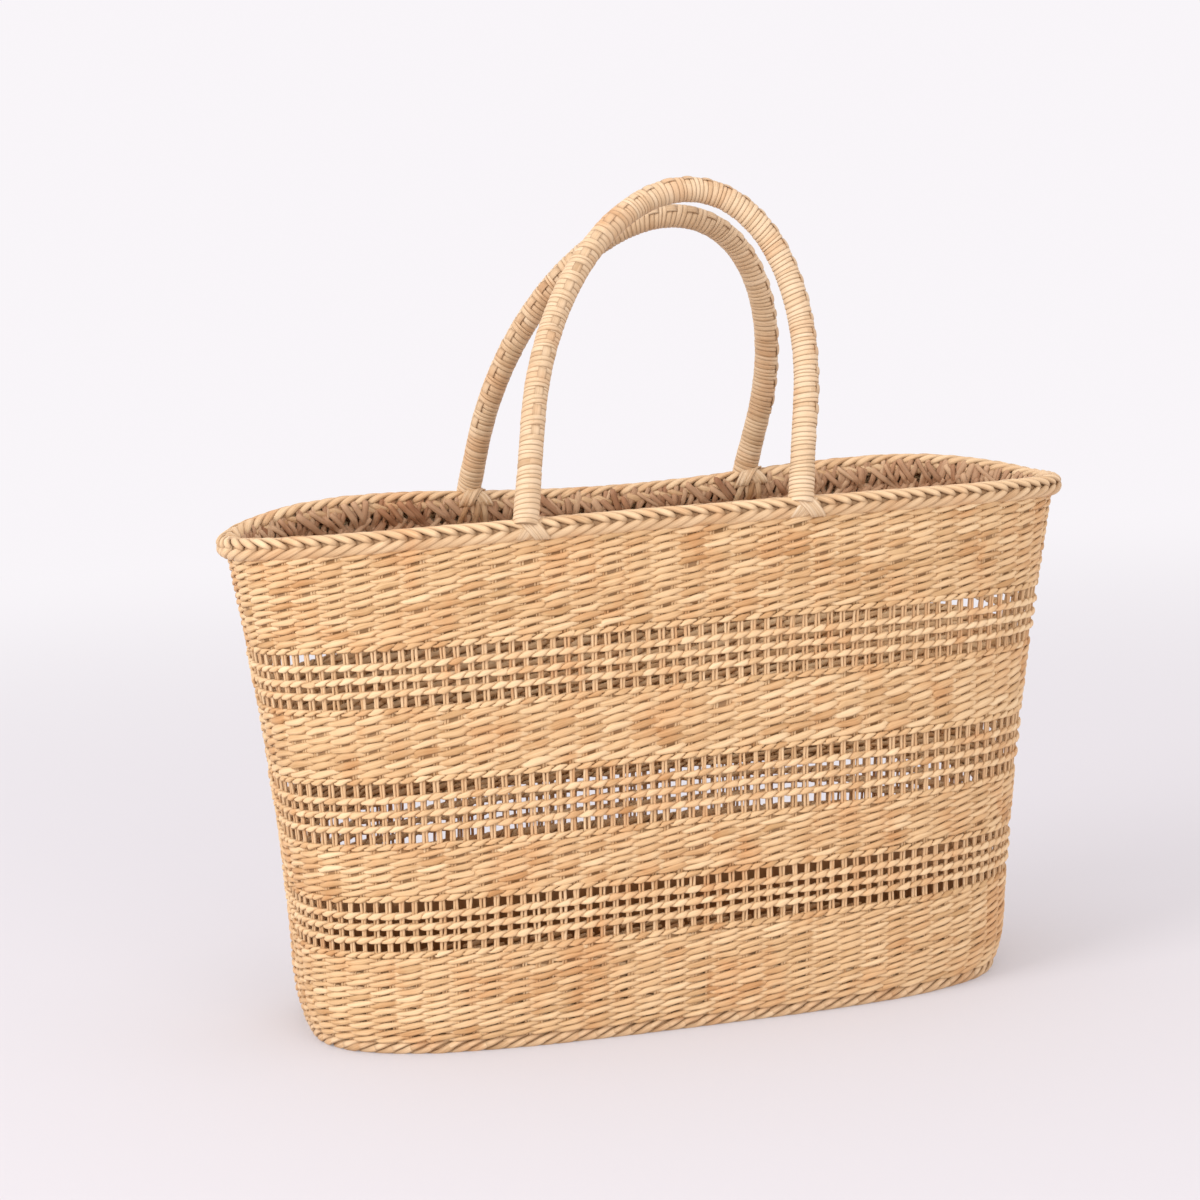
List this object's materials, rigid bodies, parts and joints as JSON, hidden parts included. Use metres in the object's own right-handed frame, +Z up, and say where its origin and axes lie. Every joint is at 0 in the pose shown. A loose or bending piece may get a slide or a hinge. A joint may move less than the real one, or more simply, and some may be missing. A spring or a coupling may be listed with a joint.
{
  "type": "woven market basket",
  "caption": "Oblong woven rush market basket with bands of openwork, a plaited rim and wrapped arch handles that fold out at the rim.",
  "frame": {"origin": "on the floor, under the middle of the basket's overall box", "axes": "+Z up, +X along the basket's length to the right of its front, +Y from the front handle to the back handle"},
  "size_m": [0.471, 0.1898, 0.4439],
  "materials": {
    "dense_weft": "dry twined rush, satin on the floats",
    "bare_stakes": "dry split rush, matt",
    "openwork_twine": "dry twisted rush, satin",
    "plaited_rush": "plaited rush, satin",
    "folded_ends": "rough folded stake ends, matt",
    "handle_wrap": "smooth split rush binding, satin",
    "lashing": "flat split rush, satin"
  },
  "bodies": {
    "basket": {"base_panel": "dense_weft", "foot_border": "plaited_rush", "rim_braid": "plaited_rush", "inner_border": "folded_ends", "bottom_dense_band": "dense_weft", "lower_dense_band": "dense_weft", "upper_dense_band": "dense_weft", "top_dense_band": "dense_weft", "lower_openwork_stakes": "bare_stakes", "middle_openwork_stakes": "bare_stakes", "upper_openwork_stakes": "bare_stakes", "lower_openwork_twine_1": "openwork_twine", "lower_openwork_twine_2": "openwork_twine", "lower_openwork_twine_3": "openwork_twine", "middle_openwork_twine_1": "openwork_twine", "middle_openwork_twine_2": "openwork_twine", "middle_openwork_twine_3": "openwork_twine", "upper_openwork_twine_1": "openwork_twine", "upper_openwork_twine_2": "openwork_twine", "upper_openwork_twine_3": "openwork_twine", "front_left_lashing": "lashing", "front_right_lashing": "lashing", "back_left_lashing": "lashing", "back_right_lashing": "lashing", "front_left_handle_root": "bare_stakes", "front_right_handle_root": "bare_stakes", "back_left_handle_root": "bare_stakes", "back_right_handle_root": "bare_stakes", "front_left_handle_tail": "lashing", "front_right_handle_tail": "lashing", "back_left_handle_tail": "lashing", "back_right_handle_tail": "lashing"},
    "front_handle": {"front_handle_wrap": "handle_wrap", "front_handle_core": "bare_stakes", "front_handle_pattern_strand": "lashing"},
    "back_handle": {"back_handle_wrap": "handle_wrap", "back_handle_core": "bare_stakes", "back_handle_pattern_strand": "lashing"}
  },
  "joints": [
    {"name": "front_handle_fold", "type": "hinge", "parent": "basket", "child": "front_handle", "pos_m": [0, -0.07, 0.2823], "axis": [1, 0, 0], "range_deg": [-2, 100]},
    {"name": "back_handle_fold", "type": "hinge", "parent": "basket", "child": "back_handle", "pos_m": [0, 0.07, 0.2853], "axis": [-1, 0, 0], "range_deg": [-2, 100]}
  ]
}
